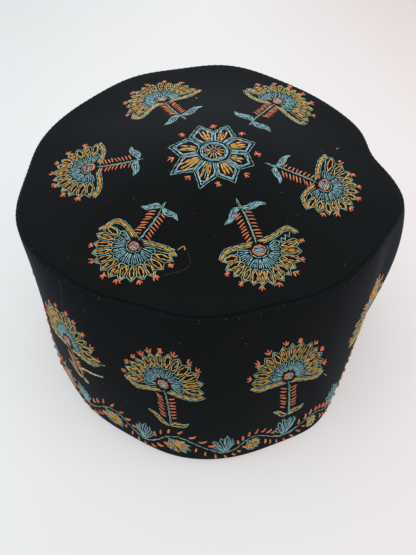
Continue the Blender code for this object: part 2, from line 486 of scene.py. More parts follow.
def plan_centre():
    """Middle of the solids' box from above, where the frame's origin is, over the solids' grid."""
    bearings, drops = np.meshgrid(np.arange(0, 360, 5.0), 0.5 - 0.5 * np.cos(np.pi * np.arange(13) / 12))
    x, y = band_plan(bearings, drops, seam_swell(drops * bpy.context.scene.cap_shape.seam_height))
    return (x.min() + x.max()) / 2, (y.min() + y.max()) / 2


def band_surface(bearing, drop, depth=0.0):
    """Points of the band's cloth, outer face at depth 0: its ripples are strongest halfway down."""
    shape = bpy.context.scene.cap_shape
    waves = ripple(BAND_RIPPLES, bearing, drop) * np.sin(np.pi * np.clip(drop, 0, 1)) ** 0.8
    relief = seam_relief(bearing, drop * shape.seam_height) + waves - depth
    x, y = band_plan(bearing, drop, relief)
    centre = plan_centre()
    height = shape.seam_height * (1 - drop) + 0 * x
    return np.stack([x - centre[0], y - centre[1], height], axis=-1)


def crown_surface(bearing, reach, depth=0.0):
    """Points of the crown's cloth: a raised-cosine dome over the seam ring, from reach 0 to 1.

    Its ripples run out to the edge, and are gone at its middle and at the seam.
    """
    shape = bpy.context.scene.cap_shape
    angle = np.radians(bearing)
    out = soft_offset(bearing, 0.0) * reach ** 3 - depth * reach ** 2
    x = (shape.seam_half_width * reach + out) * np.cos(angle)
    y = (shape.seam_half_depth * reach + out) * np.sin(angle)
    dome = shape.dome_rise * 0.5 * (1 + np.cos(np.pi * reach))
    folds = ripple(CROWN_RIPPLES, bearing, reach) * reach ** 2 * (1 - reach ** 6)
    relief = seam_relief(bearing, (1 - reach) * shape.seam_half_width) + folds
    centre = plan_centre()
    height = shape.seam_height + dome + relief - depth
    return np.stack([x - centre[0], y - centre[1], height], axis=-1)


def crown_at(across, along):
    """Crown surface over plan points from the crown's middle: the reach is found in four rounds."""
    shape = bpy.context.scene.cap_shape
    half_width, half_depth = shape.seam_half_width, shape.seam_half_depth
    bearing = np.arctan2(along / half_depth, across / half_width)
    reach = np.hypot(across / half_width, along / half_depth)
    for _ in range(4):
        out = soft_offset(np.degrees(bearing), 0.0) * reach ** 2
        bearing = np.arctan2(along / (half_depth + out), across / (half_width + out))
        reach = np.hypot(across / (half_width + out), along / (half_depth + out))
    return crown_surface(np.degrees(bearing), reach)


def band_at(bearing, height):
    """Band surface at bearings and heights over the rim."""
    return band_surface(bearing, 1 - height / bpy.context.scene.cap_shape.seam_height)


# A surface gives points for two parameters. Its steps in each are for finding its normals.
Surface = namedtuple("Surface", "at steps")
ON_CROWN = Surface(crown_at, (0.2 * MM, 0.2 * MM))
ON_BAND = Surface(band_at, (0.1, 0.2 * MM))


def points_and_normals(surface, first, second):
    """Points of a surface and its outward normals, the cross product of two small differences."""
    points = surface.at(first, second)
    ahead = surface.at(first + surface.steps[0], second) - points
    sideways = surface.at(first, second + surface.steps[1]) - points
    normals = np.cross(ahead, sideways)
    return points, normals / np.linalg.norm(normals, axis=-1, keepdims=True)


def grid_faces(rows, columns, closed_rows=False):
    """Quads of a grid that closes round its columns: vertex indices and unwrapped (row, column)."""
    last = rows if closed_rows else rows - 1
    row, column = np.meshgrid(np.arange(last), np.arange(columns), indexing="ij")
    corners = np.stack(
        [np.stack([row, column], -1), np.stack([row, column + 1], -1),
         np.stack([row + 1, column + 1], -1), np.stack([row + 1, column], -1)], axis=2
    ).reshape(-1, 4, 2)
    indices = (corners[..., 0] % rows) * columns + corners[..., 1] % columns
    return indices, corners


def new_piece(name, points, faces, uv=None, tone=None):
    """Mesh object at the origin from points and faces, smooth where it has a UV map."""
    mesh = bpy.data.meshes.new(name)
    mesh.from_pydata(points.reshape(-1, 3).tolist(), [], faces)
    if uv is not None:
        mesh.uv_layers.new(name="UVMap").data.foreach_set("uv", uv.astype(np.float32).ravel())
    if tone is not None:
        mesh.attributes.new("tone", "FLOAT", "POINT").data.foreach_set("value", tone.astype(np.float32))
    mesh.validate()
    if uv is not None:
        mesh.shade_smooth()
    piece = bpy.data.objects.new(name, mesh)
    bpy.context.scene.collection.objects.link(piece)
    return piece


def socket_named(sockets, key):
    """The socket in use with this identifier, or with this name where _ stands for a space."""
    return next(s for s in sockets if s.enabled and key in (s.identifier, s.name.replace(" ", "_")))


def fill_inputs(node, inputs):
    """Sets a node's inputs by name: a socket is linked, and any other value becomes its constant."""
    for key, value in inputs.items():
        socket = socket_named(node.inputs, key)
        if isinstance(value, bpy.types.NodeSocket):
            node.id_data.links.new(value, socket)
        else:
            socket.default_value = value


def add_node(tree, kind, output, settings=None, **inputs):
    """Adds one shader node with its settings and inputs, and returns the named output socket."""
    node = tree.nodes.new(kind)
    for key, value in (settings or {}).items():
        setattr(node, key, value)
    fill_inputs(node, inputs)
    return socket_named(node.outputs, output)


def new_material(name):
    """Material with its node tree and its Principled BSDF."""
    material = bpy.data.materials.new(name)
    material.use_nodes = True
    return material, material.node_tree, material.node_tree.nodes["Principled BSDF"]


def shade(colour, factor):
    """The colour times a factor, held at 1, with alpha 1."""
    return tuple(min(1.0, channel * factor) for channel in colour[:3]) + (1.0,)


# Settings of the nodes that several materials use.
MIX = ("ShaderNodeMix", "Result_Color", {"data_type": "RGBA"})
WAVE = ("ShaderNodeTexWave", "Fac", {"bands_direction": "X"})


def twill_material(name, slant, tone):
    """Black cotton twill, piece-dyed and soft: a matte face with fine slanted ribs and a faint bloom.

    slant is the ribs' angle in degrees, and tone lightens the dye of the whole piece. This is painted
    light, which lifts the band's side, where less light falls. The noises are yarn slubs about 1.1 mm
    apart, worn patches of 26 mm and spots of lint 2.4 mm apart.
    """
    # Painted light: tone brightens the cloth's colour over the whole piece.
    colour = shade(bpy.context.scene.cap_colours.twill, tone)
    material, tree, shader = new_material(name)
    place = add_node(tree, "ShaderNodeTexCoord", "UV")
    turned = add_node(
        tree, "ShaderNodeMapping", "Vector", Vector=place, Rotation=(0, 0, math.radians(slant))
    )
    ribs = add_node(
        tree, *WAVE, Vector=turned, Scale=2 * math.pi / WAVE_TURN / RIB_PITCH,
        Distortion=1.2, Detail=2.0, Detail_Scale=6.0,
    )
    yarn = add_node(tree, "ShaderNodeTexNoise", "Fac", Vector=place, Scale=900.0, Detail=3.0)
    wear = add_node(tree, "ShaderNodeTexNoise", "Fac", Vector=place, Scale=38.0, Detail=4.0)
    lint = add_node(tree, "ShaderNodeTexNoise", "Fac", Vector=place, Scale=420.0, Detail=1.0)
    spots = add_node(
        tree, "ShaderNodeMapRange", "Result", Value=lint, From_Min=0.70, From_Max=0.80, To_Max=0.5
    )
    cloth = add_node(
        tree, *MIX, Factor_Float=wear, A_Color=shade(colour, 0.75), B_Color=shade(colour, 1.3)
    )
    cloth = add_node(tree, *MIX, Factor_Float=ribs, A_Color=cloth, B_Color=shade(colour, 1.1))
    cloth = add_node(tree, *MIX, Factor_Float=spots, A_Color=cloth, B_Color=shade(colour, 4.0))
    height = add_node(
        tree, "ShaderNodeMath", "Value", {"operation": "ADD"}, Value=ribs, Value_001=yarn
    )
    bump = add_node(tree, "ShaderNodeBump", "Normal", Strength=0.22, Distance=0.12 * MM, Height=height)
    fill_inputs(shader, {
        "Base_Color": cloth,
        "Normal": bump,
        "Roughness": 0.9,
        "Specular_IOR_Level": 0.04,
        "Sheen_Weight": 0.045,
        "Sheen_Roughness": 0.5,
        "Sheen_Tint": (0.75, 0.85, 1.0, 1.0),
    })
    return material


def floss_material(name, colour):
    """Stranded cotton floss, mercerised: a soft lustre, plies that slant with painted shade in the grooves
    between them, uneven dye.
    """
    material, tree, shader = new_material(name)
    place = add_node(tree, "ShaderNodeTexCoord", "UV")
    tone = add_node(tree, "ShaderNodeAttribute", "Fac", {"attribute_name": "tone"})
    dyed = add_node(
        tree, *MIX, Factor_Float=tone, A_Color=shade(colour, 0.6), B_Color=shade(colour, 1.5)
    )
    slant = add_node(tree, "ShaderNodeMapping", "Vector", Vector=place, Rotation=(0, 0, math.radians(35)))
    plies = add_node(tree, *WAVE, Vector=slant, Scale=1.6, Distortion=0.5)
    # Painted shade: the grooves between the plies are drawn at 0.4 of the dye.
    ply_shaded_dye = add_node(tree, *MIX, Factor_Float=plies, A_Color=shade(colour, 0.4), B_Color=dyed)
    bump = add_node(tree, "ShaderNodeBump", "Normal", Strength=0.6, Distance=0.1 * MM, Height=plies)
    fill_inputs(shader, {
        "Base_Color": ply_shaded_dye,
        "Normal": bump,
        "Roughness": 0.42,
        "Specular_IOR_Level": 0.5,
        "Sheen_Weight": 0.15,
    })
    return material


def card_material(colour):
    """Matte card with no gloss, whose glow is painted light: brightest beside the cap, where it fills its
    shadow, fainter far off, cooler at the left.
    """
    material, tree, shader = new_material("matte_card_floor")
    place = add_node(tree, "ShaderNodeTexCoord", "Object")
    across = add_node(tree, "ShaderNodeSeparateXYZ", "X", Vector=place)
    share = add_node(tree, "ShaderNodeMapRange", "Result", Value=across, From_Min=-0.2, From_Max=0.25)
    near = add_node(tree, *MIX, Factor_Float=share, A_Color=FLOOR_LEFT, B_Color=FLOOR_RIGHT)
    far = add_node(tree, "ShaderNodeValToRGB", "Color", Fac=share)
    stops = far.node.color_ramp.elements
    stops.new(0.5)
    for stop, (position, tint) in zip(stops, FLOOR_FAR):
        stop.position = position
        stop.color = tint
    # Painted light: the glow is strongest within 0.12 m of the middle, where the cap's shadow falls, and
    # fades out by 0.45 m.
    away = add_node(tree, "ShaderNodeVectorMath", "Value", {"operation": "LENGTH"}, Vector=place)
    fade = add_node(tree, "ShaderNodeMapRange", "Result", Value=away, From_Min=0.12, From_Max=0.45)
    glow = add_node(tree, *MIX, Factor_Float=fade, A_Color=near, B_Color=far)
    fill_inputs(shader, {
        "Base_Color": tuple(colour),
        "Roughness": 0.9,
        "Emission_Color": glow,
        "Emission_Strength": 0.43,
    })
    return material


def stepped(start, stop, step):
    """Even values from start to stop, about a step apart, with both ends."""
    return np.linspace(start, stop, max(2, int(round(abs(stop - start) / step)) + 1))


def rings_round(surface, sections):
    """One ring of points round the cap for each (place, depth) section, and their bearings."""
    bearings = np.arange(BEARING_STEPS) * 360 / BEARING_STEPS
    return [surface(bearings, place + 0 * bearings, depth) for place, depth in sections]


def finish_cloth(piece, material):
    """Turns every face outward, gives the cloth its material and lets it ride on the cap."""
    mesh = bmesh.new()
    mesh.from_mesh(piece.data)
    bmesh.ops.recalc_face_normals(mesh, faces=mesh.faces[:])
    mesh.to_mesh(piece.data)
    mesh.free()
    piece.data.materials.append(material)
    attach(piece, "root")


class CAP_OT_crown(bpy.types.Operator):
    """Lays the crown's cloth: outer face, sewn edge and under side as one closed shell"""

    bl_idname = "cap.crown"
    bl_label = "Crown cloth"

    def execute(self, context):
        shape = context.scene.cap_shape
        width = shape.seam_half_width
        edge = 1 - EDGE_BAND / width
        sections = [(reach, 0.0) for reach in stepped(RING_STEP / width, edge, RING_STEP / width)]
        sections += [(reach, 0.0) for reach in stepped(edge, 1.0, EDGE_RING_STEP / width)[1:]]
        sections += [(reach, shape.cloth) for reach in stepped(1.0, UNDER_MIDDLE, UNDER_STEP)]
        rings = rings_round(crown_surface, sections)
        middle = np.array([0.0])
        poles = [crown_surface(middle, middle, depth) for depth in (0.0, shape.cloth)]
        points = np.concatenate(rings + poles)
        first = np.arange(BEARING_STEPS)
        last = first + (len(rings) - 1) * BEARING_STEPS
        faces = (
            grid_faces(len(rings), BEARING_STEPS)[0],
            np.stack([0 * first + len(points) - 2, np.roll(first, -1), first], 1),
            np.stack([0 * first + len(points) - 1, last, np.roll(last, -1)], 1),
        )
        flat = np.concatenate([part.ravel() for part in faces])
        face_list = [face for part in faces for face in part.tolist()]
        piece = new_piece("crown_cloth", points, face_list, uv=points[flat][:, :2])
        finish_cloth(piece, twill_material("black_cotton_twill_crown", 52, 1.0))
        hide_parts("crown_top")
        return {"FINISHED"}


def band_sections(shape):
    """Sections of the band as (drop, depth): down outside, round the rim's fold, and up inside."""
    height = shape.seam_height
    gap = SEAM_GAP / height
    edge = EDGE_BAND / height
    fold_start = 1 - RIM_FOLD / height
    hem_depth = shape.cloth + HEM_THICKNESS
    hem_step = 1 - (shape.hem_height - HEM_STEP) / height
    hem_top = 1 - shape.hem_height / height
    fold = hem_depth / 2
    sections = [(drop, 0.0) for drop in stepped(gap, edge, EDGE_RING_STEP / height)]
    sections += [(drop, 0.0) for drop in stepped(edge, fold_start, RING_STEP / height)[1:]]
    for turn in np.radians(RIM_FOLD_ANGLES):
        sections.append((1 - (fold - fold * math.sin(turn)) / height, fold - fold * math.cos(turn)))
    sections += [(drop, hem_depth) for drop in stepped(fold_start, hem_step, HEM_RING_STEP / height)]
    sections += [(drop, shape.cloth) for drop in stepped(hem_top, INSIDE_STEP, INSIDE_STEP)]
    sections.append((gap + SEAM_MITRE * shape.cloth / height, shape.cloth))
    return sections


class CAP_OT_band(bpy.types.Operator):
    """Lays the side band's cloth: outer face, turned rim, hem and inner face as one closed sleeve"""

    bl_idname = "cap.band"
    bl_label = "Band cloth"

    def execute(self, context):
        shape = context.scene.cap_shape
        sections = band_sections(shape)
        indices, corners = grid_faces(len(sections), BEARING_STEPS, closed_rows=True)
        drops = np.array([drop for drop, _ in sections])
        along = corners[..., 1] / BEARING_STEPS * BAND_FLAT_LENGTH
        up = (1 - drops[corners[..., 0] % len(sections)]) * shape.seam_height
        points = np.concatenate(rings_round(band_surface, sections))
        piece = new_piece(
            "band_cloth", points, indices.tolist(), uv=np.stack([along, up], axis=-1).reshape(-1, 2)
        )
        # The band's tone of 1.5 is painted light: its side is drawn lighter than the crown's same cloth, as
        # if more light fell on it.
        finish_cloth(piece, twill_material("black_cotton_twill_band", 38, 1.5))
        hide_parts("side_band")
        return {"FINISHED"}


def polar(radius, angle):
    """Point at a radius and an angle in degrees, turned from +v towards +u."""
    a = np.radians(angle)
    return np.stack([radius * np.sin(a), radius * np.cos(a)], -1)


def spokes(angles, inner, outer):
    """One stitch for each angle in degrees from the +v axis, from the inner to the outer radius."""
    return np.stack([polar(inner, angles), polar(outer, angles)], axis=1)


def run(points, pitch):
    """Back stitches along a polyline in mm: equal lengths of about pitch that share their ends."""
    points = np.asarray(points, float)
    length = np.concatenate([[0], np.cumsum(np.hypot(*np.diff(points, axis=0).T))])
    count = max(1, int(round(length[-1] / pitch)))
    at = np.linspace(0, length[-1], count + 1)
    cut = np.column_stack([np.interp(at, length, points[:, k]) for k in (0, 1)])
    return np.stack([cut[:-1], cut[1:]], axis=1)


def curve(points, count=25):
    """Smooth line through points: cubic pieces whose slopes come from the neighbouring points."""
    p = np.asarray(points, float)
    slope = np.gradient(p, axis=0)
    at = np.linspace(0, len(p) - 1, count)
    k = np.minimum(at.astype(int), len(p) - 2)
    s = (at - k)[:, None]
    return (
        (2 * s ** 3 - 3 * s ** 2 + 1) * p[k] + (s ** 3 - 2 * s ** 2 + s) * slope[k]
        + (3 * s ** 2 - 2 * s ** 3) * p[k + 1] + (s ** 3 - s ** 2) * slope[k + 1]
    )


def beside(line, distance):
    """The line moved sideways by a distance, to the left of its own direction."""
    step = np.gradient(line, axis=0)
    step /= np.hypot(step[:, 0], step[:, 1])[:, None]
    return line + distance * np.column_stack([-step[:, 1], step[:, 0]])


# Marks of three short stitches, in units of a tick's size: three that open outward, one that crosses.
TICK_FORMS = (
    (((0.1, -1.0), (-1.2, 0.6)), ((0.0, -1.0), (0.1, 1.1)), ((0.0, -0.9), (1.2, 0.5))),
    (((0.0, -0.9), (-1.3, 0.3)), ((0.1, -0.8), (-0.3, 1.0)), ((0.2, -0.9), (1.1, 0.7))),
    (((-1.0, -0.8), (1.0, 0.8)), ((-0.8, 0.9), (0.8, -0.9)), ((-0.1, -1.2), (0.1, 1.2))),
    (((-0.2, -1.0), (-1.0, 0.9)), ((0.2, -0.9), (0.5, 1.1)), ((0.1, -0.6), (1.3, 0.2))),
)


class Sewing:
    """Stitches collected by floss: each stitch is two (u, v) points in mm."""

    def __init__(self, seed):
        self.rng = np.random.default_rng(seed)
        self.kept = {name: [] for name in FLOSSES}

    def add(self, floss, stitches, wobble=0.12):
        """Keeps stitches, with both ends of each moved a little by hand."""
        stitches = np.asarray(stitches, float).reshape(-1, 2, 2)
        self.kept[floss].append(stitches + self.rng.normal(0, wobble, stitches.shape))

    def join(self, floss, *points, wobble=0.12):
        """Sews from each row of points to the same row of the next set."""
        for start, end in zip(points, points[1:]):
            self.add(floss, np.stack([start, end], 1), wobble)

    def tick(self, place, heading, size):
        """Sews one of the tick forms at a place, turned to its heading in radians, a bit askew."""
        form = np.array(TICK_FORMS[self.rng.integers(0, len(TICK_FORMS))])
        form = form * size * self.rng.uniform(0.85, 1.15)
        turn = heading + math.radians(self.rng.uniform(-25, 25))
        rotation = np.array([[math.cos(turn), -math.sin(turn)], [math.sin(turn), math.cos(turn)]])
        self.add("orange_fine", form @ rotation.T + np.asarray(place), 0.1)


def above_angle(wing, knot, gap):
    """Angle from +v of the point that lies gap over a knot of the wing, in degrees."""
    u, v = wing[knot]
    return math.degrees(math.atan2(u, v + gap))


def fan_outline(angle, fan):
    """Reach of the fan at an angle from +v: its own reach at the top, then its ends and shoulders."""
    knots, reaches = [-45, 45], list(fan.reach)
    for wing in (fan.plus_wing, fan.minus_wing):
        for knot, less in ((2, 0.3), (1, 1.4)):
            knots.append(math.degrees(math.atan2(*wing[knot])))
            reaches.append(math.hypot(*wing[knot]) - less)
    order = np.argsort(knots)
    return np.interp(angle, np.array(knots)[order], np.array(reaches)[order])


def sew_fan(sewing, fan):
    """Fan of looped gold petals in pointed sage scallops round a half-wheel of blue rays."""
    first = above_angle(fan.minus_wing, 1, fan.minus_clear)
    last = above_angle(fan.plus_wing, 1, fan.plus_clear)
    borders = np.linspace(first, last, FAN_PETALS + 1)
    borders[1:-1] += sewing.rng.uniform(-1.2, 1.2, FAN_PETALS - 1)
    middles = (borders[1:] + borders[:-1]) / 2
    tips = fan_outline(middles, fan) + sewing.rng.uniform(-0.5, 0.4, FAN_PETALS)
    valleys = fan_outline(borders, fan) - SCALLOP_DEPTH
    root = fan.wheel + PETAL_GAP + sewing.rng.uniform(-0.2, 0.2, FAN_PETALS)
    valley_points = polar(valleys, borders)
    sewing.join("sage", valley_points[:-1], polar(tips, middles), valley_points[1:])
    border_root = fan.wheel + BORDER_GAP
    sewing.join(
        "sage", polar(border_root, borders), polar((border_root + valleys) / 2, borders), valley_points
    )
    sew_petals(sewing, middles, root, tips - PETAL_TIP_GAP, fan.filled)
    sew_rays(sewing, fan, *(above_angle(wing, 0, RAY_CLEAR) for wing in (fan.minus_wing, fan.plus_wing)))
    for wing, side in ((fan.plus_wing, 1), (fan.minus_wing, -1)):
        sew_wing(sewing, wing, side, -fan.ring[1] - WING_DROP)
    for angle in np.linspace(*fan.ticks) + sewing.rng.uniform(-3, 3, fan.ticks[2]):
        place = polar(fan_outline(np.array(angle), fan) + TICK_GAP, angle)
        sewing.tick(place, math.radians(-angle), TICK_SIZE)


def sew_petals(sewing, middles, root, tip, filled):
    """Gold loops, pointed at both ends, widest at two fifths; some have a stroke in their slit."""
    low = root + (tip - root) * 0.38
    high = root + (tip - root) * 0.76
    wide = np.degrees(sewing.rng.uniform(0.95, 1.25, len(middles)) / low)
    less = np.degrees(0.9 / high)
    for side in (-1, 1):
        sewing.join(
            "gold", polar(root, middles), polar(low, middles + side * wide),
            polar(high, middles + side * less), polar(tip, middles), wobble=0.14,
        )
    slit = np.stack([polar(low, middles), polar(high, middles)], 1)
    chance = sewing.rng.random(len(middles))
    sewing.add("gold", slit[chance < filled], 0.2)
    sewing.add("sage", slit[chance > max(0.75, filled)], 0.2)


def ring_reach(ring, angle):
    """Radius of the elliptical ring at an angle from +v."""
    across, along = ring
    a = np.radians(angle)
    return across * along / np.hypot(along * np.sin(a), across * np.cos(a))


def sew_rays(sewing, fan, first, last):
    """Blue half-wheel: paired rays between sage spokes, sage arches over them, and the orange ring."""
    borders = np.linspace(first, last, FAN_RAYS + 1)
    rays = (borders[1:] + borders[:-1]) / 2
    step = borders[1] - borders[0]
    hub_line = fan.wheel > HUB_LINE_FROM
    sooner = 0.0 if hub_line else NO_HUB_LINE
    gaps = np.resize(SPOKE_GAPS, len(borders)) - sooner
    sewing.add("sage", spokes(borders, ring_reach(fan.ring, borders) + gaps, fan.wheel))
    for side in (-1, 1):
        inner = polar(ring_reach(fan.ring, rays) + RAY_GAP - sooner, rays + side * 0.09 * step)
        outer = polar(fan.wheel - 0.2, rays + side * 0.16 * step)
        sewing.join("blue_fine", inner, (inner + outer) / 2, outer, wobble=0.1)
    feet = polar(fan.wheel, borders)
    sewing.join("sage", feet[:-1], polar(fan.wheel + 1.0, rays), feet[1:])
    if hub_line:
        hub = np.linspace(first, last, 25)
        sewing.add("sage", run(polar(ring_reach(fan.ring, hub) + HUB_LINE_GAP, hub), 2.4), 0.1)
    turn = np.linspace(0, 360, 49)
    sewing.add("orange_ring", run(polar(ring_reach(fan.ring, turn), turn), 2.2), 0.14)
    across, along = fan.ring
    for share in (-0.66, -0.3, 0.0, 0.3, 0.66):
        half = 0.78 * across * math.sqrt(1 - share ** 2)
        low, high = (share - 0.12) * along, (share + 0.12) * along
        sewing.add("blue", [((-half, low), (half, high))], 0.12)


def sew_wing(sewing, wing, side, start):
    """Lower edge of the fan on one side: two gold rows between an outer and an inner sage line."""
    line = curve([(0.9 * side, start), *wing])
    for floss, inward, first, last in (
        ("sage", -0.7, 0, 25),
        ("gold", 0.0, 1, 25),
        ("gold", 0.6, 2, 24),
        ("sage", 1.35, 2, 24),
    ):
        sewing.add(floss, run(beside(line, inward * side)[first:last], 3.1), 0.1)


def sew_stem(sewing, length, ladder_start, ladder_end, rows):
    """Sage stem with a ladder of slanted orange stitches on both sides: rows on minus, then plus."""
    v = np.linspace(-3.4, -length, 12)
    bend = 0.5 * np.sin(np.linspace(0, 2.4, 12))
    sewing.add("sage", run(np.column_stack([bend, v]), 3.2), 0.1)
    sewing.add("sage", run(np.column_stack([bend + 0.4, v])[1:11], 3.0), 0.12)
    for side, slant, count, inner in ((-1, 1.2, rows[0], 1.0), (1, 0.9, rows[1], 1.3)):
        inner_v = np.linspace(-ladder_start, -ladder_end, count)
        start = np.column_stack([0 * inner_v + side * inner, inner_v - 0.2])
        end = np.column_stack([0 * inner_v + side * 4.2, inner_v + slant])
        sewing.join("orange", start, end, wobble=0.2)


def sew_leaf(sewing, base, tip, belly, fill, strokes):
    """Pointed leaf from base to tip: sage outline that bellies to both sides, filled with strokes."""
    base, tip = np.asarray(base, float), np.asarray(tip, float)
    axis = tip - base
    length = math.hypot(*axis)
    normal = np.array([-axis[1], axis[0]]) / length
    share = np.linspace(0, 1, 13)[:, None]
    middle = base + axis * share + normal * 0.5 * belly * np.sin(2 * np.pi * share)
    swell = normal * belly * np.sin(np.pi * share ** 0.75)
    for side in (-1, 1):
        sewing.add("sage", run(middle + side * swell, 3.0), 0.08)
    for row in np.linspace(-0.55, 0.55, strokes):
        sewing.add(fill, run((middle + row * swell)[1 : 12 - int(3 * abs(row))], 2.8), 0.1)


def sew_leaf_pair(sewing, flower, below, belly, fill, strokes):
    """The two leaves of a flower, which start a little below its joint."""
    for tip, side in ((flower.plus_leaf, 0.2), (flower.minus_leaf, -0.2)):
        sew_leaf(sewing, (side, -flower.joint - below), tip, belly, fill, strokes)


def sew_crown_flower(sewing, flower):
    """Fan, stem and two blue leaves that spread from the joint, with a small tip between them."""
    joint, stem = flower.joint, flower.stem
    sew_fan(sewing, flower.fan)
    sew_stem(sewing, joint, 6.4, min(joint - 2.2, 19.5), (9, 8))
    sew_leaf_pair(sewing, flower, 0.8, flower.belly, "blue", 3)
    sewing.add("sage", run([(0, -joint), (-0.5, -(joint + stem) / 2), (0.1, -stem)], 2.6))
    sewing.add("sage", run([(0.6, -joint), (0.1, -stem + 0.6)], 2.6))
    if flower.zigzag:
        sewing.add("sage", list(zip(flower.zigzag, flower.zigzag[1:])), 0.1)


def sew_band_flower(sewing, flower):
    """Fan on a stem that ends in two gold leaves, which rise to both sides."""
    sew_fan(sewing, flower.fan)
    sew_stem(sewing, flower.joint, 7.8, flower.joint * 0.77, (7, 7))
    sew_leaf_pair(sewing, flower, 0.2, 1.35, "gold", 2)


def petal_edge(compass, left, right, radii, shares):
    """Five corners of a pointed petal: root, notch, tip, notch and root, as angles about its middle."""
    root, notch, tip = radii
    near, far = shares
    return [
        polar(root, compass + left * near),
        polar(notch, compass + left * far),
        polar(tip, compass),
        polar(notch, compass - right * far),
        polar(root, compass - right * near),
    ]


def sew_rosette_petal(sewing, petal, left, right, loops, bulges):
    """Pointed petal: sage outline, blue inside it, gold loops and a sage stroke at its heart."""
    compass = 90 - petal.bearing
    outer = petal_edge(compass, left, right, (7.5, ROSETTE_NOTCH, petal.reach), (0.84, 0.95))
    inner = petal_edge(
        compass, left, right, (7.9, ROSETTE_NOTCH - 0.9, petal.reach - 2.0), (0.64, 0.80)
    )
    sewing.add("sage", np.concatenate([run(pair, 3.4) for pair in zip(outer, outer[1:])]), 0.12)
    sewing.add("blue", np.concatenate([run(pair, 3.2) for pair in zip(inner, inner[1:])]), 0.1)
    sewing.add("blue", run(np.array(inner) * 0.965, 3.2), 0.12)
    sewing.add("sage", run([inner[0], polar(7.3, compass), inner[-1]], 3.0), 0.1)
    far = petal.reach - 5.5
    for middle in loops:
        for bulge in (-bulges, bulges):
            turns = np.array([middle * 0.8, middle + bulge, middle * 0.9])
            sewing.add("gold", run(polar(np.array([8.5, 12.0, far]), compass - turns), 3.2), 0.14)
    sewing.add("sage", [(polar(8.4, compass), polar(far - 0.6, compass - 1.0))], 0.2)
    sewing.tick(
        polar(ROSETTE_TICK_REACH, compass - right), math.radians(petal.bearing + right - 90), 1.5
    )


def sew_rosette(sewing):
    """Eight pointed petals, with two wide and three narrow loops in turn, round a spoked wheel."""
    count = len(ROSETTE_PETALS)
    for k, petal in enumerate(ROSETTE_PETALS):
        before, after = ROSETTE_PETALS[k - 1], ROSETTE_PETALS[(k + 1) % count]
        left = ((petal.bearing - before.bearing) % 360) / 2
        right = ((after.bearing - petal.bearing) % 360) / 2
        loops, bulges = ((-5.4, 5.4), 2.9) if k % 2 else ((-7.5, 0, 7.5), 1.5)
        sew_rosette_petal(sewing, petal, left, right, loops, bulges)
    circle = np.linspace(0, 360, 49)
    sewing.add("blue", run(polar(6.4, circle), 2.9), 0.08)
    sewing.add("blue", run(polar(5.7, circle + 12), 2.9), 0.08)
    sewing.add("sage", run(polar(5.0, circle), 3.0)[::2], 0.15)
    sewing.add("sage", spokes(np.array(HEART_SPOKES), 0.2, 5.0), 0.15)
    for side, floss in ((-1, "orange"), (1, "gold")):
        sewing.add(floss, spokes(np.array(HEART_STROKES) + side * 13, 1.5, 4.8), 0.15)


def vine_height(u, period):
    """Height of the vine: a cosine over its low line, whose swing blends from crest to crest."""
    crests = np.arange(VINE_REPEATS + 1) * period
    swing = np.interp(u % crests[-1], crests, VINE_SWINGS + VINE_SWINGS[:1])
    return VINE_LOW + swing * (1 + np.cos(2 * np.pi * u / period))


def sew_border(sewing, length):
    """Wavy vine round the rim, from arc length 0 at a crest: u is arc length, v height, in mm."""
    period = length / VINE_REPEATS
    u = np.linspace(0, length, VINE_POINTS * VINE_REPEATS + 1)
    line = np.column_stack([u, vine_height(u, period)])
    sewing.add("sage", run(line, 3.4), 0.15)
    for k in range(VINE_REPEATS):
        crest = k * period
        trough = crest + 0.5 * period
        doubled = line[VINE_POINTS * k + 5 : VINE_POINTS * k + 12] + (0.2, 0.5)
        sewing.add("sage", run(doubled, 3.2), 0.15)
        sew_blue_bud(sewing, trough, -6 + 8 * math.sin(2.4 * k))
        sew_gold_leaf(sewing, crest, VINE_SWINGS[k])
        for middle, side in ((crest, 1), (trough, -1)):
            for step in BORDER_STITCHES:
                sew_border_stitch(sewing, middle + step * period, period, side)


def sew_border_stitch(sewing, u, period, side):
    """Short orange stitch just outside the vine's curve, slanted between across and along it."""
    v = float(vine_height(u, period))
    slope = float(vine_height(u + 0.5, period) - vine_height(u - 0.5, period))
    normal = np.array([-slope, 1.0]) / math.hypot(slope, 1.0) * side
    lean = np.array([normal[1], -normal[0]]) * BORDER_STITCH_SLANT * side
    start = np.array([u, v]) + normal * BORDER_STITCH_GAP
    end = start + (normal + lean) * BORDER_STITCH_LENGTH
    end[1] = max(end[1], BORDER_STITCH_LOWEST)
    sewing.add("orange_double", [(start, end)], 0.15)


def sew_jagged_edge(sewing, base, reach, angles, wobble):
    """Sage zigzag from tip to tip, with valleys at four fifths of the reach. Returns the tips."""
    tips = polar(reach, angles) + base
    valleys = polar(reach[:-1] * 0.8, (angles[1:] + angles[:-1]) / 2) + base
    sewing.join("sage", tips[:-1], valleys, tips[1:], wobble=wobble)
    return tips


def sew_blue_bud(sewing, u, tilt):
    """Fluffy blue flower that stands on the vine's trough: paired strokes in a jagged sage crown."""
    base = np.array([u + sewing.rng.uniform(-0.5, 0.5), VINE_LOW + 0.2])
    angles = np.linspace(-35, 35, 6) + sewing.rng.uniform(-2, 2, 6)
    reach = 13.0 - 3.8 * (np.abs(angles) / 36) ** 1.4 + sewing.rng.uniform(-1.1, 0.9, 6)
    angles = angles + tilt
    for offset in (-3.2, 3.2):
        sewing.add("blue_fine", spokes(angles + offset, reach * 0.45, reach * 0.92) + base, 0.3)
        sewing.add("blue_fine", spokes(angles + offset, 1.2, reach * 0.48) + base, 0.3)
    sew_jagged_edge(sewing, base, reach, angles, 0.25)
    sewing.add("sage", spokes(angles[:-1] + 7, reach[:-1] * 0.25, reach[:-1] * 0.85) + base, 0.3)


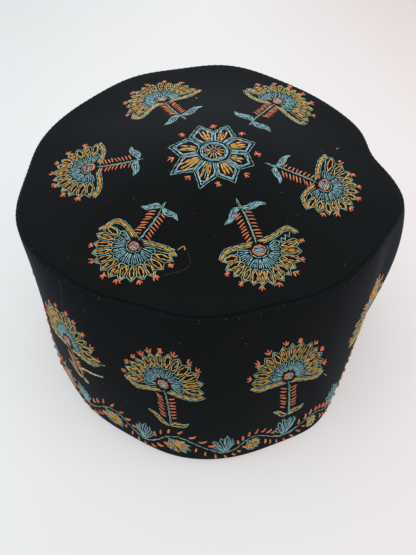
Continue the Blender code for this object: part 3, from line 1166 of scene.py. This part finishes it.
def sew_gold_leaf(sewing, u, swing):
    """Gold leaf that hangs from the vine's crest: fanned gold and sage strokes, notched outline."""
    base = np.array([u - 4.2, VINE_LOW + 1.4 * swing + 0.2])
    tall = 0.62 + 0.08 * swing
    angles = 136 + np.linspace(-46, 46, 7) * tall + sewing.rng.uniform(-5, 5)
    reach = np.array([7.6, 9.8, 11.6, 12.2, 11.2, 9.6, 7.6]) * (0.64 + 0.045 * swing)
    for offset in (-2.6, 2.6):
        sewing.add("gold", spokes(angles + offset, 3.0, reach * 0.6) + base, 0.25)
        sewing.add("gold", spokes(angles + offset, reach * 0.62, reach * 0.9) + base, 0.25)
    between, short = angles[:-1] + 7, reach[:-1]
    sewing.add("sage", spokes(between, 0.8, short * 0.5) + base, 0.25)
    sewing.add("sage", spokes(between, short * 0.5, short * 0.9) + base, 0.25)
    tips = sew_jagged_edge(sewing, base, reach, angles, 0.2)
    sewing.add("sage", run([base + (-1.6, 1.2), base, tips[0]], 3.0), 0.15)
    sewing.add("sage", run([base, tips[-1]], 3.0), 0.15)


def stitch_mesh(stitches, widths, surface, rng):
    """Tubes for stitches on a surface: each rises from the cloth, arches and dips in again.

    stitches is (n, 2, 2) in the surface's own parameters, widths is each floss's width in metres.
    The centre line is the surface point plus its normal times a half-sine arch, and the section
    is an ellipse, wider than high, that narrows at both ends.
    """
    share = np.linspace(0, 1, STITCH_STATIONS)
    start, end = stitches[:, None, 0], stitches[:, None, 1]
    spread = start + (end - start) * share[:, None]
    point, normal = points_and_normals(surface, spread[..., 0], spread[..., 1])
    along = np.gradient(point, axis=1)
    along /= np.linalg.norm(along, axis=-1, keepdims=True)
    side = np.cross(normal, along)
    arch = np.sin(np.pi * share) ** 0.5
    half = widths[:, None] / 2
    lift = half * (0.15 + 0.75 * arch) * rng.uniform(0.85, 1.25, (len(stitches), 1)) - half * 0.25
    centre = point + normal * lift[..., None]
    wide = half * (0.55 + 0.5 * arch)
    tall = wide * 0.8
    turn = np.arange(STITCH_SIDES) * 2 * np.pi / STITCH_SIDES
    rings = (
        centre[:, :, None, :]
        + side[:, :, None, :] * (wide[..., None] * np.cos(turn))[..., None]
        + normal[:, :, None, :] * (tall[..., None] * np.sin(turn))[..., None]
    )
    count = len(stitches)
    block = STITCH_STATIONS * STITCH_SIDES
    indices, corners = grid_faces(STITCH_STATIONS, STITCH_SIDES)
    blocks = np.arange(count)[:, None] * block
    quads = (indices + blocks[..., None]).reshape(-1, 4)
    near_caps = blocks + np.arange(STITCH_SIDES)[::-1]
    far_caps = near_caps[:, ::-1] + block - STITCH_SIDES
    faces = quads.tolist() + near_caps.tolist() + far_caps.tolist()
    length = np.linalg.norm(point[:, -1] - point[:, 0], axis=-1)
    run_uv = (length[:, None] / MM * share)[:, corners[..., 0]]
    round_uv = np.broadcast_to(corners[..., 1] / STITCH_SIDES, run_uv.shape)
    uv = np.stack([run_uv, round_uv], axis=-1).reshape(-1, 2)
    cap_uv = np.zeros((count * 2 * STITCH_SIDES, 2))
    tone = np.repeat(rng.uniform(0, 1, count), block)
    return rings.reshape(-1, 3), faces, np.concatenate([uv, cap_uv]), tone


def floss_of(dye):
    """The dyed floss's material, made once."""
    label = f"mercerised_cotton_floss_{dye}"
    found = bpy.data.materials.get(label)
    return found or floss_material(label, getattr(bpy.context.scene.cap_colours, dye))


def lay_stitches(name, motifs, surface, seed):
    """One piece for each floss: the stitches of all the motifs, laid on the surface as tubes."""
    rng = np.random.default_rng(seed)
    for floss, thread in FLOSSES.items():
        groups = [group for motif in motifs for group in motif[floss]]
        if not groups:
            continue
        stitches = np.concatenate(groups)
        widths = thread.width * MM * rng.uniform(0.85, 1.15, len(stitches))
        piece = new_piece(f"{name}_{floss}", *stitch_mesh(stitches, widths, surface, rng))
        piece.data.materials.append(floss_of(thread.dye))
        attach(piece, "root")


def moved(sewing, move, *place):
    """A motif's stitches by floss, carried from mm to a surface's parameters by one function."""
    return {floss: [move(group, *place) for group in groups] for floss, groups in sewing.kept.items()}


def onto_crown(group, flower):
    """Plan points of a crown flower: v runs along the bearing it opens to, u across it."""
    turn = math.radians(flower.turn)
    along = np.array([math.cos(turn), math.sin(turn)])
    across = np.array([-along[1], along[0]])
    return (np.array([flower.x, flower.y]) + group[..., :1] * across + group[..., 1:] * along) * MM


def onto_middle(group):
    """Plan points of the rosette."""
    return (np.array(ROSETTE_CENTRE) + group) * MM


def arc_table(height):
    """Arc length round the band at this height, against bearing: two arrays, from bearing 0 to 360."""
    bearings = np.linspace(0, 360, 1441)
    ring = band_at(bearings, height + 0 * bearings)
    steps = np.linalg.norm(np.diff(ring, axis=0), axis=1)
    return bearings, np.concatenate([[0], np.cumsum(steps)])


def bearing_at(arc, table):
    """Bearing for an arc length on this table, past a full turn if need be."""
    bearings, lengths = table
    turns = np.floor(arc / lengths[-1])
    return np.interp(arc - turns * lengths[-1], lengths, bearings) + 360 * turns


def onto_band(group, flower, table):
    """Bearing and height of a band flower: u runs along the arc, with the stem's lean and fan's lift."""
    across = group[..., 0] + flower.lean * np.minimum(group[..., 1], 0)
    up = group[..., 1] + flower.lift * group[..., 0]
    bearing = bearing_at(np.interp(flower.bearing, *table) + across * MM, table)
    return np.stack([bearing, (flower.height + up) * MM], -1)


def onto_rim(group, table):
    """Bearing and height of the vine: u runs along the arc from the first crest, with its drifts."""
    bearing = bearing_at(np.interp(VINE_CREST_BEARING, *table) + group[..., 0] * MM, table)
    shift = sum(drift.shift * bell(bearing, drift.bearing, drift.spread) for drift in VINE_DRIFTS)
    return np.stack([bearing + shift, group[..., 1] * MM], -1)


class CAP_OT_crown_embroidery(bpy.types.Operator):
    """Sews the rosette and the six fan flowers of the crown"""

    bl_idname = "cap.crown_embroidery"
    bl_label = "Crown embroidery"

    def execute(self, context):
        motifs = []
        for k, flower in enumerate(CROWN_FLOWERS):
            sewing = Sewing(100 + k)
            sew_crown_flower(sewing, flower)
            motifs.append(moved(sewing, onto_crown, flower))
        rosette = Sewing(90)
        sew_rosette(rosette)
        motifs.append(moved(rosette, onto_middle))
        lay_stitches("crown", motifs, ON_CROWN, 11)
        return {"FINISHED"}


class CAP_OT_band_embroidery(bpy.types.Operator):
    """Sews the ten fan flowers that stand round the side band"""

    bl_idname = "cap.band_embroidery"
    bl_label = "Band embroidery"

    def execute(self, context):
        table = arc_table(FLOWER_ARC_HEIGHT)
        motifs = []
        for k, flower in enumerate(BAND_FLOWERS):
            sewing = Sewing(200 + k)
            sew_band_flower(sewing, flower)
            motifs.append(moved(sewing, onto_band, flower, table))
        lay_stitches("band", motifs, ON_BAND, 12)
        return {"FINISHED"}


class CAP_OT_border(bpy.types.Operator):
    """Sews the vine with its blue buds, gold leaves and orange stitches round the rim"""

    bl_idname = "cap.border"
    bl_label = "Vine border"

    def execute(self, context):
        table = arc_table(VINE_ARC_HEIGHT)
        sewing = Sewing(400)
        sew_border(sewing, table[1][-1] / MM)
        lay_stitches("border", [moved(sewing, onto_rim, table)], ON_BAND, 13)
        return {"FINISHED"}


def sew_loose(sewing, ends, scale):
    """Lays each loose end: a single stitch, or a smooth line of short ones through its points.

    scale turns the numbers of the ends into the surface's parameters.
    """
    for floss, points in ends:
        if len(points) == 2:
            stitches = np.array([points], float)
        else:
            line = curve(points, 6 * len(points))
            stitches = np.stack([line[:-2:2], line[2::2]], 1)
        sewing.kept[floss].append(stitches * scale)


def scatter_lint(rng, low, high, length):
    """Short stray fibres at random places between two corners, each in a random direction."""
    place = rng.uniform(low, high, (LINT_COUNT, 2))
    turn = rng.uniform(0, 2 * math.pi, LINT_COUNT)
    reach = rng.uniform(0.4, 1.0, (LINT_COUNT, 1)) * np.stack([np.cos(turn), np.sin(turn)], -1) * length
    return np.stack([place - reach / 2, place + reach / 2], 1)


class CAP_OT_loose(bpy.types.Operator):
    """Leaves loose thread ends, a few stray hairs and lint on the cloth, and specks of painted highlight
    under the seam
    """

    bl_idname = "cap.loose"
    bl_label = "Loose ends and lint"

    def execute(self, context):
        top, side = Sewing(70), Sewing(71)
        sew_loose(top, CROWN_LOOSE, MM)
        sew_loose(side, BAND_LOOSE, np.array([1.0, MM]))
        span = LINT_HALF_SPAN
        lint = scatter_lint(top.rng, (-span, -span), (span, span), LINT_LENGTH)
        hairs, specks = np.split(lint, [LINT_COUNT * 3 // 4])
        top.kept["lint"].append(hairs)
        top.kept["speck"].append(specks * 0.25 + specks[:, :1] * 0.75)
        side.kept["lint"].append(scatter_lint(top.rng, *BAND_LINT))
        # Light specks under the seam: painted highlights where its puckered lip catches the light.
        side.kept["speck"].append(scatter_lint(top.rng, *SEAM_HIGHLIGHT_SPECKS))
        lay_stitches("loose_crown", [top.kept], ON_CROWN, 21)
        lay_stitches("loose_band", [side.kept], ON_BAND, 22)
        return {"FINISHED"}


def place_lamps(scene):
    """Square soft boxes at their places, each turned to the cap."""
    for lamp in LAMPS:
        light = bpy.data.lights.new(lamp.name, "AREA")
        light.size = lamp.size
        light.energy = lamp.power
        light.color = lamp.tint
        box = bpy.data.objects.new(lamp.name, light)
        box.location = lamp.place
        toward = Vector(LAMP_AIM) - Vector(lamp.place)
        box.rotation_euler = toward.to_track_quat("-Z", "Y").to_euler()
        scene.collection.objects.link(box)


def place_camera(scene):
    """Camera in front of the cap, tilted down by the elevation, at its distance from the aim point."""
    view = scene.cap_view
    camera = bpy.data.objects.new("camera", bpy.data.cameras.new("camera"))
    camera.data.sensor_width = 36.0
    camera.data.lens = view.focal
    camera.data.clip_start = 0.01
    back = Vector((0.0, -math.cos(view.elevation), math.sin(view.elevation)))
    camera.location = Vector(view.aim) - Vector((*plan_centre(), 0.0)) + view.distance * back
    camera.rotation_euler = (math.pi / 2 - view.elevation, 0, 0)
    scene.collection.objects.link(camera)
    scene.camera = camera


class CAP_OT_stage(bpy.types.Operator):
    """Sets the pale floor with a painted glow that fills the cap's shadow, the soft light and the camera"""

    bl_idname = "cap.stage"
    bl_label = "Floor, light and camera"

    def execute(self, context):
        scene = context.scene
        corners = np.array([(-1, -1, 0), (1, -1, 0), (1, 1, 0), (-1, 1, 0)]) * FLOOR_REACH
        floor = new_piece("floor", corners, [(0, 1, 2, 3)])
        floor.data.materials.append(card_material(scene.cap_colours.floor))
        scene.world = bpy.data.worlds.new("soft_room")
        scene.world.use_nodes = True
        fill_inputs(scene.world.node_tree.nodes["Background"], {"Color": ROOM_COLOUR, "Strength": 1.0})
        place_lamps(scene)
        place_camera(scene)
        scene.view_settings.view_transform = "Standard"
        return {"FINISHED"}


class CAP_PT_panel(bpy.types.Panel):
    """Lists the cap's pieces and their settings in the sidebar"""

    bl_idname = "CAP_PT_panel"
    bl_label = "Embroidered cap"
    bl_space_type = "VIEW_3D"
    bl_region_type = "UI"
    bl_category = "Cap"

    def draw(self, context):
        for operator in OPERATORS:
            self.layout.operator(operator.bl_idname)
        for group in GROUPS:
            settings = getattr(context.scene, group)
            box = self.layout.box()
            for name in settings.__annotations__:
                box.prop(settings, name)


GROUPS = {"cap_shape": CapShape, "cap_colours": CapColours, "cap_view": CapView}
OPERATORS = (
    CAP_OT_crown,
    CAP_OT_band,
    CAP_OT_crown_embroidery,
    CAP_OT_band_embroidery,
    CAP_OT_border,
    CAP_OT_loose,
    CAP_OT_stage,
)
CLASSES = (*GROUPS.values(), *OPERATORS, CAP_PT_panel)


def register():
    """Registers every class, and puts the groups of settings on the scene."""
    for cls in CLASSES:
        bpy.utils.register_class(cls)
    for name, group in GROUPS.items():
        setattr(bpy.types.Scene, name, bpy.props.PointerProperty(type=group))


def unregister():
    """Takes the settings off the scene, and unregisters every class."""
    for name in GROUPS:
        delattr(bpy.types.Scene, name)
    for cls in reversed(CLASSES):
        bpy.utils.unregister_class(cls)


def main():
    """Makes every piece in order."""
    register()
    bpy.ops.cap.crown()
    bpy.ops.cap.band()
    bpy.ops.cap.crown_embroidery()
    bpy.ops.cap.band_embroidery()
    bpy.ops.cap.border()
    bpy.ops.cap.loose()
    bpy.ops.cap.stage()


if __name__ == "__main__":
    main()
